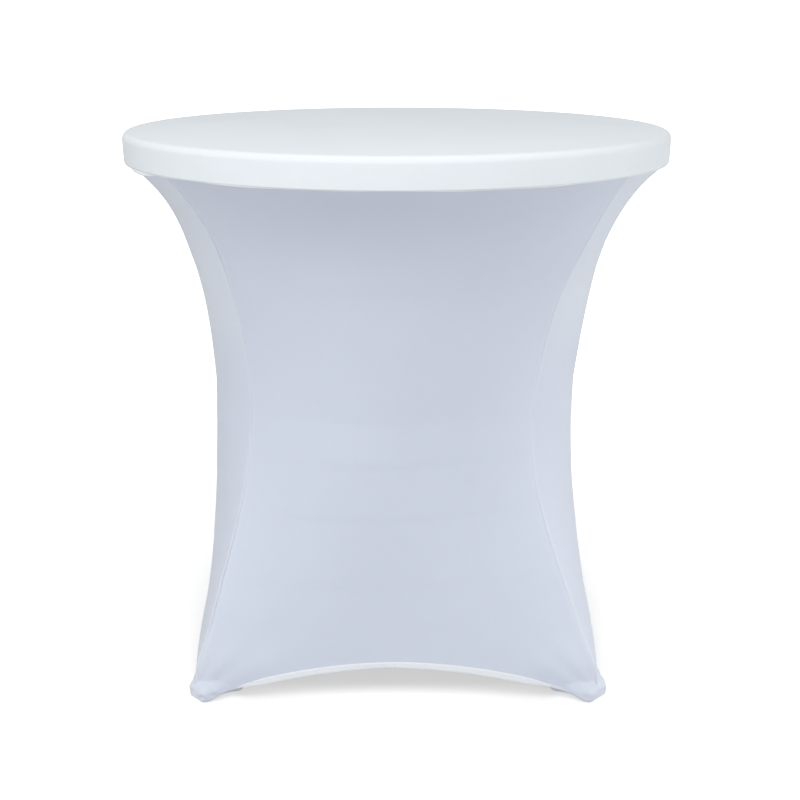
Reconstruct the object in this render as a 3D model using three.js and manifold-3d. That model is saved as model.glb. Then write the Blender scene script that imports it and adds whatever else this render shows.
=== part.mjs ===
// A round cafe table on a cast cross base, dressed in a one-piece stretch cover.
// Millimetres, +Z up. The floor is z = 0 and the table's axis is x = y = 0.
// The front of the table faces -Y.

import * as THREE from 'three';
import { mergeVertices } from 'three/addons/utils/BufferGeometryUtils.js';
import Module from 'manifold-3d';

const wasm = await Module();
wasm.setup();

// ---------- driving dimensions ----------

const GAP = 0.3; // free space kept between two pieces that touch
const CLOTH = 1.2; // knitted fabric with its lining of air

const COVER_RADIUS = 375; // outside of the fabric round the rim
const COVER_HEIGHT = 740; // top of the fabric above the floor
const CAP_DROP = 36; // height of the rim wall, down to the seam
const CAP_ROUNDING = 9; // rounding of the rim's upper edge
const RIM_SEAM_RADIUS = 1.6; // the rolled seam under the rim

const WAIST_RADIUS = 261; // narrowest mid-panel radius
const WAIST_HEIGHT = 389;
const HEM_FLARE = 34; // how far the mid-panel swings out again by the floor
const SEAM_WAIST_RADIUS = 265; // narrowest radius of a corner seam
const SEAM_WAIST_HEIGHT = 392;
const SEAM_FOOT_RADIUS = 378; // corner seam's radius at the floor
const CORNER_SHIFT = 3.7; // degrees that a corner seam leans sideways at the rim
const CORNER_SEAM_RADIUS = 1.8;
const SKIRT_TUCK = 2; // the skirt's top edge sits this far inside the rim
const HEM_ARCH = 53; // clear height under the middle of a hem
const HEM_WIDTH = 8;
const HEM_THICKNESS = 2;
const POCKET_TOP = 26;
const POCKET_SHOULDER = 14; // a pocket's walls stand upright to here, then lean in
const POCKET_START = 338; // where a pocket's floor begins, along its diagonal
const POCKET_FOOT = { end: 386, halfEnd: 18, spread: 34, corner: 7 };
const POCKET_NECK = { halfEnd: 4, spread: 48, corner: 3 };

const BOARD_THICKNESS = 22;
const BAND_WIDTH = 12; // moulded edge round the board
const BAND_ROUNDING = 8;
const SPIDER_THICKNESS = 5;
const SPIDER_REACH = 120;
const SPIDER_ARM_WIDTH = 40;
const SCREW_CIRCLE = 105; // radius that the spider's screws stand on
const SCREW_SHANK_RADIUS = 2.4;
const SCREW_LENGTH = 16;
const SCREW_POINT = 3;
const COLUMN_RADIUS = 38;
const COLUMN_WALL = 2;
const DISC_RADIUS = 46;
const DISC_THICKNESS = 3;
const DISC_BOSS = 8;
const ROD_RADIUS = 5;
const ROD_END = 1; // rod showing past each nut
const NUT_ACROSS_CORNERS = 18.5;
const NUT_HEIGHT = 8;
const WASHER_RADIUS = 11;
const WASHER_THICKNESS = 2;
const NUT_CLEARANCE = 3; // free space round the nut in the board's recess

const BAR_HALF_WIDTH = 26; // at the middle of the cross
const TOE_HALF_WIDTH = 15.5;
const BAR_TOP = 62; // top of the cross at the column
const BAR_BELLY = 16; // underside at the column
const TOE_BOTTOM = 8;
const TOE_TOP = 20;
const TOE_NOSE = 13; // top of the toe's blunt end
const TOE_LENGTH = 32;
const TOE_CORNER = 5; // rounding of the toe's two front corners
const GLIDE_SEAT = 30; // half length of the flat underside over a glide
const STEM_BITE = 2.5; // how far a glide's stem is screwed in at rest
const GLIDE_CIRCLE = 344;
const GLIDE_PAD_RADIUS = 21;
const GLIDE_PAD_HEIGHT = 3;
const GLIDE_STEM_RADIUS = 4;
const GLIDE_PAD_CHAMFER = 1.5;
const GLIDE_TRAVEL = 3;

const ROUND_STEPS = 64; // facets round the table top
const EDGE_STEPS = 3; // facets round the top's edge
const COLUMN_STEPS = 24; // facets round the column, its discs and a glide pad
const ROD_STEPS = 12; // facets round the tie rod and its holes
const STEM_STEPS = 10;
const SCREW_STEPS = 8;
const CORD_STEPS = 6; // facets round a sewn seam
const PANEL_COLUMNS = 16;
const HEM_COLUMNS = 12; // the middle columns of a panel, between the foot pockets
const PANEL_ROWS = 13;
const SEAM_POINTS = 18;
const SEAM_STEPS = 24;
const CUT = 5; // a cutting shape runs this far past what it cuts

// ---------- sizes that follow ----------

const CAP_BOTTOM = COVER_HEIGHT - CAP_DROP;
const RIM_SEAM_Z = CAP_BOTTOM - GAP - RIM_SEAM_RADIUS;
const RIM_SEAM_CIRCLE = COVER_RADIUS - CLOTH - RIM_SEAM_RADIUS;
const SKIRT_TOP_Z = RIM_SEAM_Z - RIM_SEAM_RADIUS - GAP;
const SKIRT_TOP_RADIUS = COVER_RADIUS - SKIRT_TUCK;
const SKIRT_ANCHOR_Z = RIM_SEAM_Z; // height where every skirt profile meets the rim
const SKIRT_SIDE_GAP = CORNER_SEAM_RADIUS + 2 * GAP;

const BOARD_TOP = COVER_HEIGHT - CLOTH - GAP;
const BOARD_BOTTOM = BOARD_TOP - BOARD_THICKNESS;
const BAND_RADIUS = COVER_RADIUS - CLOTH - GAP;
const BAND_INNER = BAND_RADIUS - BAND_WIDTH;
const BAND_BOTTOM = RIM_SEAM_Z + RIM_SEAM_RADIUS + GAP;
const BOARD_RADIUS = BAND_INNER - GAP;
const SPIDER_TOP = BOARD_BOTTOM - GAP;
const SPIDER_BOTTOM = SPIDER_TOP - SPIDER_THICKNESS;
const SCREW_TOP = SPIDER_BOTTOM - GAP + SCREW_LENGTH;
const SCREW_HOLE = SCREW_SHANK_RADIUS + GAP;
const UPPER_DISC_TOP = SPIDER_BOTTOM - GAP;
const COLUMN_TOP = UPPER_DISC_TOP - DISC_THICKNESS - GAP;
const LOWER_DISC_BOTTOM = BAR_TOP + GAP;
const COLUMN_BOTTOM = LOWER_DISC_BOTTOM + DISC_THICKNESS + GAP;
const DISC_BOSS_RADIUS = COLUMN_RADIUS - COLUMN_WALL - GAP;
const ROD_HOLE = ROD_RADIUS + 2 * GAP;
const HALF_LAP_Z = (BAR_TOP + BAR_BELLY) / 2;
const TOE_END = POCKET_FOOT.end - CLOTH - 3 * GAP;
const PAD_BOTTOM = CLOTH + GAP;
const STEM_BOTTOM = PAD_BOTTOM + GLIDE_PAD_HEIGHT + GAP;
const STEM_TOP = TOE_BOTTOM + STEM_BITE;
const STEM_HOLE_TOP = STEM_TOP + GLIDE_TRAVEL + GAP;
const LOWER_WASHER_TOP = BAR_BELLY - GAP;
const LOWER_NUT_TOP = LOWER_WASHER_TOP - WASHER_THICKNESS - GAP;
const ROD_BOTTOM = LOWER_NUT_TOP - NUT_HEIGHT - ROD_END;
const UPPER_WASHER_BOTTOM = SPIDER_TOP + GAP;
const UPPER_NUT_BOTTOM = UPPER_WASHER_BOTTOM + WASHER_THICKNESS + GAP;
const ROD_TOP = UPPER_NUT_BOTTOM + NUT_HEIGHT + ROD_END;
const NUT_RECESS_RADIUS = WASHER_RADIUS + NUT_CLEARANCE;
const NUT_RECESS_TOP = ROD_TOP + NUT_CLEARANCE;

const CORNERS = [
  ['front_right', -45],
  ['back_right', 45],
  ['back_left', 135],
  ['front_left', -135],
];
const SIDES = [
  ['front', -90, true],
  ['right', 0, false],
  ['back', 90, true],
  ['left', 180, false],
];

// ---------- materials ----------

function standard(color, roughness, metalness) {
  return new THREE.MeshStandardMaterial({ color, roughness, metalness });
}

const clothMaterial = () => standard(0xeef0f6, 0.75, 0);
const seamMaterial = () => standard(0xf5f6fa, 0.7, 0);
const boardMaterial = () => standard(0xb89a72, 0.65, 0);
const edgeMaterial = () => standard(0x2b2b2d, 0.5, 0);
const ironMaterial = () => standard(0x202124, 0.55, 0.6);
const steelMaterial = () => standard(0xa9abae, 0.35, 1);
const plasticMaterial = () => standard(0x1c1c1e, 0.6, 0);

// ---------- small helpers ----------

const radians = (degrees) => (degrees * Math.PI) / 180;

function namedMesh(name, geometry, material) {
  const mesh = new THREE.Mesh(geometry, material);
  mesh.name = name;
  return mesh;
}

function turned(mesh, degrees) {
  mesh.rotation.z = radians(degrees);
  return mesh;
}

/** A solid of revolution about Z from [radius, z] points. */
function lathe(points, steps) {
  const outline = points.map(([r, z]) => new THREE.Vector2(r, z));
  const geometry = new THREE.LatheGeometry(outline, steps);
  geometry.rotateX(Math.PI / 2);
  return geometry;
}

/** A ring of revolution: the outline closes on itself. */
function latheRing(points, steps) {
  return lathe([...points, points[0]], steps);
}

function disc(radius, bottom, top, steps) {
  return lathe([[0, bottom], [radius, bottom], [radius, top], [0, top]], steps);
}

function tube(outer, inner, bottom, top, steps) {
  const outline = [[inner, bottom], [outer, bottom], [outer, top], [inner, top]];
  return latheRing(outline, steps);
}

/** A throwaway cylinder for cutting a round hole at a distance from the axis. */
function cutter(radius, bottom, top, steps, out, degrees) {
  const shape = disc(radius, bottom, top, steps);
  shape.translate(out, 0, 0);
  shape.rotateZ(radians(degrees));
  return manifoldOf(shape);
}

function manifoldOf(geometry) {
  const bare = geometry.clone();
  bare.deleteAttribute('normal');
  bare.deleteAttribute('uv');
  const merged = mergeVertices(bare, 1e-4);
  const mesh = new wasm.Mesh({
    numProp: 3,
    vertProperties: new Float32Array(merged.attributes.position.array),
    triVerts: new Uint32Array(merged.index.array),
  });
  return new wasm.Manifold(mesh);
}

function geometryOf(solid) {
  const mesh = solid.getMesh();
  const geometry = new THREE.BufferGeometry();
  const positions = new THREE.BufferAttribute(new Float32Array(mesh.vertProperties), 3);
  geometry.setAttribute('position', positions);
  geometry.setIndex(new THREE.BufferAttribute(new Uint32Array(mesh.triVerts), 1));
  const flat = geometry.toNonIndexed();
  flat.computeVertexNormals();
  return flat;
}

/** A flat shape in X and Y, raised from one height to another. */
function prism(shape, bottom, top) {
  const geometry = new THREE.ExtrudeGeometry(shape, {
    depth: top - bottom,
    bevelEnabled: false,
    curveSegments: 6,
  });
  geometry.translate(0, 0, bottom);
  return geometry;
}

/** A closed sheet with the given outer surface(u, v), u and v from 0 to 1. */
function sheetSolid(surface, columns, rows, thickness) {
  const step = 1e-3;
  const positions = [];
  const layer = (rows + 1) * (columns + 1);
  const inner = [];
  for (let j = 0; j <= rows; j += 1) {
    for (let i = 0; i <= columns; i += 1) {
      const u = i / columns;
      const v = j / rows;
      const here = surface(u, v);
      const across = surface(u + step, v).sub(surface(u - step, v));
      const down = surface(u, v + step).sub(surface(u, v - step));
      const outward = down.cross(across).normalize();
      positions.push(here.x, here.y, here.z);
      inner.push(here.clone().addScaledVector(outward, -thickness));
    }
  }
  inner.forEach((p) => positions.push(p.x, p.y, p.z));
  const faces = [];
  const quad = (a, b, c, d) => faces.push(a, b, c, a, c, d);
  const at = (i, j) => j * (columns + 1) + i;
  for (let j = 0; j < rows; j += 1) {
    for (let i = 0; i < columns; i += 1) {
      const corners = [at(i, j), at(i, j + 1), at(i + 1, j + 1), at(i + 1, j)];
      quad(...corners);
      quad(...corners.map((n) => n + layer).reverse());
    }
  }
  const edge = (a, b) => quad(a, b, b + layer, a + layer);
  for (let i = 0; i < columns; i += 1) {
    edge(at(i, 0), at(i + 1, 0));
    edge(at(i + 1, rows), at(i, rows));
  }
  for (let j = 0; j < rows; j += 1) {
    edge(at(0, j + 1), at(0, j));
    edge(at(columns, j), at(columns, j + 1));
  }
  const geometry = new THREE.BufferGeometry();
  geometry.setAttribute('position', new THREE.Float32BufferAttribute(positions, 3));
  geometry.setIndex(faces);
  geometry.computeVertexNormals();
  return geometry;
}

// ---------- the shape of the stretched skirt ----------

/** How far up from a waist to the rim, 0 to 1. */
function rise(z, waist) {
  return Math.max(0, (z - waist) / (SKIRT_ANCHOR_Z - waist));
}

/** How far down from a waist to the floor, 0 to 1. */
function fall(z, waist) {
  return Math.max(0, (waist - z) / waist);
}

/** Radius of a panel's middle at a height: steep under the rim, nearly upright below. */
function panelRadius(z) {
  const up = rise(z, WAIST_HEIGHT);
  const flare = 0.256 * up + 0.489 * up ** 3 + 0.255 * up ** 9;
  const hem = HEM_FLARE * fall(z, WAIST_HEIGHT) ** 2.2;
  return WAIST_RADIUS + (SKIRT_TOP_RADIUS - WAIST_RADIUS) * flare + hem;
}

/** Radius of a corner seam at a height: out to the foot in an S curve. */
function seamRadius(z) {
  const up = rise(z, SEAM_WAIST_HEIGHT);
  const flare = 0.92 * up ** 2 + 0.08 * up ** 9;
  const down = fall(z, SEAM_WAIST_HEIGHT) ** 1.2;
  const foot = (SEAM_FOOT_RADIUS - SEAM_WAIST_RADIUS) * down ** 2 * (3 - 2 * down);
  return SEAM_WAIST_RADIUS + (SKIRT_TOP_RADIUS - SEAM_WAIST_RADIUS) * flare + foot;
}

/** Angle of a corner seam from the table's X axis, in degrees. */
function seamAngle(z) {
  return 45 - CORNER_SHIFT * rise(z, WAIST_HEIGHT);
}

/** A panel's level section: the arc through its two seams and its middle. */
function panelArc(z, wide) {
  const angle = radians(wide ? seamAngle(z) : 90 - seamAngle(z));
  const halfChord = seamRadius(z) * Math.cos(angle);
  const bulge = panelRadius(z) - seamRadius(z) * Math.sin(angle);
  const radius = (halfChord ** 2 + bulge ** 2) / (2 * bulge);
  return { radius, halfAngle: Math.asin(halfChord / radius) };
}

/** A point of a panel that faces +X: across runs from -1 to 1, seam to seam. */
function panelPoint(across, z, wide, inset) {
  const { radius, halfAngle } = panelArc(z, wide);
  const angle = across * (halfAngle - inset / radius);
  const outward = panelRadius(z) - radius * (1 - Math.cos(angle));
  return new THREE.Vector3(outward, radius * Math.sin(angle), z);
}

/** Height of a hem's lower edge, an arch from foot to foot. */
function hemHeight(across) {
  return HEM_ARCH * Math.max(0, 1 - across ** 2) ** 1.2;
}

// ---------- the cover ----------

function capGeometry() {
  const outline = [];
  const arc = (radius, centreR, centreZ, steps, out) => {
    for (let n = 0; n <= steps; n += 1) {
      const angle = (out ? n / steps : 1 - n / steps) * (Math.PI / 2);
      outline.push([centreR + radius * Math.cos(angle), centreZ + radius * Math.sin(angle)]);
    }
  };
  const centreR = COVER_RADIUS - CAP_ROUNDING;
  const centreZ = COVER_HEIGHT - CAP_ROUNDING;
  outline.push([0, COVER_HEIGHT - CLOTH]);
  arc(CAP_ROUNDING - CLOTH, centreR, centreZ, EDGE_STEPS, false);
  outline.push([COVER_RADIUS - CLOTH, CAP_BOTTOM], [COVER_RADIUS, CAP_BOTTOM]);
  arc(CAP_ROUNDING, centreR, centreZ, EDGE_STEPS, true);
  outline.push([0, COVER_HEIGHT]);
  return lathe(outline, ROUND_STEPS);
}

function rimSeamGeometry() {
  const section = [];
  for (let n = 0; n < CORD_STEPS; n += 1) {
    const angle = ((n + 0.5) / CORD_STEPS) * 2 * Math.PI;
    const r = RIM_SEAM_CIRCLE + RIM_SEAM_RADIUS * Math.cos(angle);
    section.push([r, RIM_SEAM_Z + RIM_SEAM_RADIUS * Math.sin(angle)]);
  }
  return latheRing(section, ROUND_STEPS);
}

function panelGeometry(wide) {
  const hemGap = HEM_WIDTH + GAP;
  const surface = (u, v) => {
    const across = 2 * u - 1;
    const bottom = Math.max(hemHeight(across) + hemGap, POCKET_TOP + 2 * GAP);
    const z = SKIRT_TOP_Z + (bottom - SKIRT_TOP_Z) * Math.sign(v) * Math.abs(v) ** 1.3;
    return panelPoint(across, z, wide, SKIRT_SIDE_GAP);
  };
  return sheetSolid(surface, PANEL_COLUMNS, PANEL_ROWS, CLOTH);
}

function hemGeometry(wide) {
  const reach = HEM_COLUMNS / PANEL_COLUMNS;
  const surface = (u, v) => {
    const across = reach * (2 * u - 1);
    const z = hemHeight(across) + HEM_WIDTH * (1 - v);
    return panelPoint(across, z, wide, SKIRT_SIDE_GAP);
  };
  return sheetSolid(surface, HEM_COLUMNS, 1, HEM_THICKNESS);
}

function cornerSeamGeometry() {
  const points = [];
  const bottom = POCKET_TOP + 2 * GAP;
  const top = SKIRT_TOP_Z - CORNER_SEAM_RADIUS;
  for (let n = 0; n <= SEAM_POINTS; n += 1) {
    const z = top + ((bottom - top) * n) / SEAM_POINTS;
    const angle = radians(seamAngle(z));
    const radius = seamRadius(z) - CLOTH / 2;
    points.push(new THREE.Vector3(radius * Math.cos(angle), radius * Math.sin(angle), z));
  }
  const section = new THREE.Shape();
  for (let n = 0; n < CORD_STEPS; n += 1) {
    const angle = (n / CORD_STEPS) * 2 * Math.PI;
    const x = CORNER_SEAM_RADIUS * Math.cos(angle);
    const y = CORNER_SEAM_RADIUS * Math.sin(angle);
    if (n === 0) section.moveTo(x, y);
    else section.lineTo(x, y);
  }
  return new THREE.ExtrudeGeometry(section, {
    steps: SEAM_STEPS,
    bevelEnabled: false,
    extrudePath: new THREE.CatmullRomCurve3(points),
  });
}

/** Outline of a foot pocket from above, pointing along +X, shrunk by inset. */
function pocketOutline({ end, halfEnd, spread, corner }, inset, start) {
  const lean = radians(spread);
  const tip = end - inset;
  const half = halfEnd - (inset * (1 - Math.sin(lean))) / Math.cos(lean);
  const halfStart = half + (tip - start) * Math.tan(lean);
  const round = corner - inset;
  const along = round * Math.cos(lean);
  const aside = round * Math.sin(lean);
  const shape = new THREE.Shape();
  shape.moveTo(start, -halfStart);
  shape.lineTo(tip - along, -half - aside);
  shape.quadraticCurveTo(tip, -half, tip, -half + round);
  shape.lineTo(tip, half - round);
  shape.quadraticCurveTo(tip, half, tip - along, half + aside);
  shape.lineTo(start, halfStart);
  return shape.getPoints(3);
}

/** A closed solid through level outlines that have the same number of points. */
function loft(levels) {
  const count = levels[0][0].length;
  const positions = levels.flatMap(([outline, z]) => outline.flatMap((p) => [p.x, p.y, z]));
  const faces = [];
  for (let level = 0; level < levels.length - 1; level += 1) {
    for (let n = 0; n < count; n += 1) {
      const a = level * count + n;
      const b = level * count + ((n + 1) % count);
      faces.push(a, b, b + count, a, b + count, a + count);
    }
  }
  const top = (levels.length - 1) * count;
  for (const [a, b, c] of THREE.ShapeUtils.triangulateShape(levels[0][0], [])) {
    faces.push(a, c, b);
  }
  for (const [a, b, c] of THREE.ShapeUtils.triangulateShape(levels.at(-1)[0], [])) {
    faces.push(top + a, top + b, top + c);
  }
  const geometry = new THREE.BufferGeometry();
  geometry.setAttribute('position', new THREE.Float32BufferAttribute(positions, 3));
  geometry.setIndex(faces);
  return geometry;
}

/** A foot pocket: a floor and a wall that narrows up to the skirt's corner. */
function pocketGeometry() {
  const neckEnd = { ...POCKET_NECK, end: seamRadius(POCKET_TOP) + CLOTH };
  const foot = (inset, start) => pocketOutline(POCKET_FOOT, inset, start);
  const neck = (inset, start) => pocketOutline(neckEnd, inset, start);
  const outer = loft([
    [foot(0, POCKET_START), 0],
    [foot(0, POCKET_START), POCKET_SHOULDER],
    [neck(0, POCKET_START), POCKET_TOP],
  ]);
  const behind = POCKET_START - CUT;
  const inner = loft([
    [foot(CLOTH, behind), CLOTH],
    [foot(CLOTH, behind), POCKET_SHOULDER],
    [neck(CLOTH, behind), POCKET_TOP],
    [neck(CLOTH, behind), POCKET_TOP + CUT],
  ]);
  return geometryOf(manifoldOf(outer).subtract(manifoldOf(inner)));
}

/** A geometry mirrored front to back, with its faces turned to point out again. */
function mirroredFrontToBack(geometry) {
  const mirrored = geometry.clone();
  mirrored.scale(1, -1, 1);
  const p = mirrored.attributes.position;
  for (let n = 0; n < p.count; n += 3) {
    for (const axis of ['X', 'Y', 'Z']) {
      const second = p[`get${axis}`](n + 1);
      p[`set${axis}`](n + 1, p[`get${axis}`](n + 2));
      p[`set${axis}`](n + 2, second);
    }
  }
  mirrored.computeVertexNormals();
  return mirrored;
}

function buildCover() {
  const cover = new THREE.Group();
  cover.name = 'cover';
  cover.add(namedMesh('cover_top_cap', capGeometry(), clothMaterial()));
  cover.add(namedMesh('rim_seam', rimSeamGeometry(), seamMaterial()));
  for (const [side, facing, wide] of SIDES) {
    const panel = namedMesh(`skirt_panel_${side}`, panelGeometry(wide), clothMaterial());
    const hem = namedMesh(`hem_${side}`, hemGeometry(wide), seamMaterial());
    cover.add(turned(panel, facing), turned(hem, facing));
  }
  const seam = cornerSeamGeometry();
  for (const [corner, facing] of CORNERS) {
    const back = facing > 0;
    const left = Math.abs(facing) > 90;
    const shape = back === left ? mirroredFrontToBack(seam) : seam.clone();
    const turn = left ? 180 : 0;
    cover.add(turned(namedMesh(`corner_seam_${corner}`, shape, seamMaterial()), turn));
    const pocket = namedMesh(`foot_pocket_${corner}`, pocketGeometry(), clothMaterial());
    cover.add(turned(pocket, facing));
  }
  return cover;
}

// ---------- the table inside ----------

function boardGeometry() {
  const below = BOARD_BOTTOM - CUT;
  let board = manifoldOf(disc(BOARD_RADIUS, BOARD_BOTTOM, BOARD_TOP, ROUND_STEPS));
  board = board.subtract(cutter(NUT_RECESS_RADIUS, below, NUT_RECESS_TOP, COLUMN_STEPS, 0, 0));
  for (const [, facing] of CORNERS) {
    const hole = cutter(SCREW_HOLE, below, SCREW_TOP + GAP, SCREW_STEPS, SCREW_CIRCLE, facing);
    board = board.subtract(hole);
  }
  return geometryOf(board);
}

function edgeBandGeometry() {
  const outline = [
    [BAND_INNER, BAND_BOTTOM],
    [BAND_RADIUS, BAND_BOTTOM],
  ];
  for (let n = 0; n <= EDGE_STEPS; n += 1) {
    const angle = (n / EDGE_STEPS) * (Math.PI / 2);
    const r = BAND_RADIUS - BAND_ROUNDING * (1 - Math.cos(angle));
    outline.push([r, BOARD_TOP - BAND_ROUNDING * (1 - Math.sin(angle))]);
  }
  outline.push([BAND_INNER, BOARD_TOP]);
  return latheRing(outline, ROUND_STEPS);
}

function spiderGeometry() {
  const below = SPIDER_BOTTOM - CUT;
  const above = SPIDER_TOP + CUT;
  const arm = new THREE.BoxGeometry(2 * SPIDER_REACH, SPIDER_ARM_WIDTH, SPIDER_THICKNESS);
  arm.translate(0, 0, (SPIDER_BOTTOM + SPIDER_TOP) / 2);
  const crossArm = arm.clone().rotateZ(Math.PI / 2);
  const middle = disc(DISC_RADIUS, SPIDER_BOTTOM, SPIDER_TOP, COLUMN_STEPS);
  let spider = manifoldOf(arm).add(manifoldOf(crossArm)).add(manifoldOf(middle));
  spider = spider.subtract(cutter(ROD_HOLE, below, above, ROD_STEPS, 0, 0));
  for (const degrees of [0, 90, 180, 270]) {
    const hole = cutter(SCREW_HOLE, below, above, SCREW_STEPS, SCREW_CIRCLE, degrees);
    spider = spider.subtract(hole);
  }
  return geometryOf(spider);
}

/** A pan-head wood screw, driven up through the spider into the board. */
function screwGeometry() {
  const under = SPIDER_BOTTOM - GAP;
  const headRadius = SCREW_SHANK_RADIUS * 1.9;
  const headHeight = SCREW_SHANK_RADIUS * 1.2;
  return lathe([
    [0, under - headHeight],
    [headRadius * 0.7, under - headHeight],
    [headRadius, under - headHeight * 0.4],
    [headRadius, under],
    [SCREW_SHANK_RADIUS, under],
    [SCREW_SHANK_RADIUS, SCREW_TOP - SCREW_POINT],
    [0, SCREW_TOP],
  ], SCREW_STEPS);
}

/** A centring disc with a boss that reaches into the column. */
function centringDisc(flangeZ, bossDirection) {
  const flangeFar = flangeZ - bossDirection * DISC_THICKNESS;
  const bossEnd = flangeZ + bossDirection * DISC_BOSS;
  const outline = [
    [ROD_HOLE, flangeFar],
    [DISC_RADIUS, flangeFar],
    [DISC_RADIUS, flangeZ],
    [DISC_BOSS_RADIUS, flangeZ],
    [DISC_BOSS_RADIUS, bossEnd],
    [ROD_HOLE, bossEnd],
  ];
  if (bossDirection < 0) outline.reverse();
  return latheRing(outline, COLUMN_STEPS);
}

function nutGeometry(bottom) {
  const top = bottom + NUT_HEIGHT;
  const hexagon = disc(NUT_ACROSS_CORNERS / 2, bottom, top, 6);
  const hole = cutter(ROD_HOLE, bottom - CUT, top + CUT, ROD_STEPS, 0, 0);
  return geometryOf(manifoldOf(hexagon).subtract(hole));
}

function washerGeometry(bottom) {
  return tube(WASHER_RADIUS, ROD_HOLE, bottom, bottom + WASHER_THICKNESS, ROD_STEPS);
}

/** A bar from above: widest at the cross, with rounded toes. */
function barPlan() {
  const plan = new THREE.Shape();
  plan.moveTo(0, -BAR_HALF_WIDTH);
  plan.lineTo(TOE_END - TOE_CORNER, -TOE_HALF_WIDTH);
  plan.quadraticCurveTo(TOE_END, -TOE_HALF_WIDTH, TOE_END, TOE_CORNER - TOE_HALF_WIDTH);
  plan.lineTo(TOE_END, TOE_HALF_WIDTH - TOE_CORNER);
  plan.quadraticCurveTo(TOE_END, TOE_HALF_WIDTH, TOE_END - TOE_CORNER, TOE_HALF_WIDTH);
  plan.lineTo(0, BAR_HALF_WIDTH);
  plan.lineTo(TOE_CORNER - TOE_END, TOE_HALF_WIDTH);
  plan.quadraticCurveTo(-TOE_END, TOE_HALF_WIDTH, -TOE_END, TOE_HALF_WIDTH - TOE_CORNER);
  plan.lineTo(-TOE_END, TOE_CORNER - TOE_HALF_WIDTH);
  plan.quadraticCurveTo(-TOE_END, -TOE_HALF_WIDTH, TOE_CORNER - TOE_END, -TOE_HALF_WIDTH);
  plan.closePath();
  return plan;
}

/** A bar from the side: sloping down to thin toes, with an arched underside. */
function barSide() {
  const side = new THREE.Shape();
  const shoulder = BAR_HALF_WIDTH * 2;
  const toeRoot = TOE_END - TOE_LENGTH;
  const archEnd = GLIDE_CIRCLE - GLIDE_SEAT;
  side.moveTo(-shoulder, BAR_TOP);
  side.lineTo(-toeRoot, TOE_TOP);
  side.lineTo(-TOE_END, TOE_NOSE);
  side.lineTo(-TOE_END, TOE_BOTTOM);
  side.lineTo(-archEnd, TOE_BOTTOM);
  side.quadraticCurveTo(0, 2 * BAR_BELLY - TOE_BOTTOM, archEnd, TOE_BOTTOM);
  side.lineTo(TOE_END, TOE_BOTTOM);
  side.lineTo(TOE_END, TOE_NOSE);
  side.lineTo(toeRoot, TOE_TOP);
  side.lineTo(shoulder, BAR_TOP);
  side.closePath();
  return side;
}

/** One bar of the cross base, along X, with its half-lap cut for the other. */
function barGeometry(lapFrom, lapTo) {
  const above = BAR_TOP + CUT;
  const reach = BAR_HALF_WIDTH + CUT;
  const profile = prism(barSide(), -reach, reach).rotateX(Math.PI / 2);
  let bar = manifoldOf(prism(barPlan(), 0, above)).intersect(manifoldOf(profile));
  const lapWidth = 2 * (BAR_HALF_WIDTH + GAP);
  const lap = new THREE.BoxGeometry(lapWidth, 2 * lapWidth, lapTo - lapFrom);
  lap.translate(0, 0, (lapFrom + lapTo) / 2);
  bar = bar.subtract(manifoldOf(lap));
  bar = bar.subtract(cutter(ROD_HOLE, -CUT, above, ROD_STEPS, 0, 0));
  for (const degrees of [0, 180]) {
    const radius = GLIDE_STEM_RADIUS + GAP;
    const hole = cutter(radius, -CUT, STEM_HOLE_TOP, STEM_STEPS, GLIDE_CIRCLE, degrees);
    bar = bar.subtract(hole);
  }
  return geometryOf(bar);
}

function buildGlides(group) {
  for (const [corner, facing] of CORNERS) {
    const top = PAD_BOTTOM + GLIDE_PAD_HEIGHT;
    const pad = lathe([
      [0, PAD_BOTTOM],
      [GLIDE_PAD_RADIUS - GLIDE_PAD_CHAMFER, PAD_BOTTOM],
      [GLIDE_PAD_RADIUS, PAD_BOTTOM + GLIDE_PAD_CHAMFER],
      [GLIDE_PAD_RADIUS, top],
      [0, top],
    ], COLUMN_STEPS);
    const stem = disc(GLIDE_STEM_RADIUS, STEM_BOTTOM, STEM_TOP, STEM_STEPS);
    for (const [kind, shape, material] of [
      ['pad', pad, plasticMaterial()],
      ['stem', stem, steelMaterial()],
    ]) {
      shape.translate(GLIDE_CIRCLE, 0, 0);
      group.add(turned(namedMesh(`glide_${kind}_${corner}`, shape, material), facing));
    }
  }
}

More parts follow.
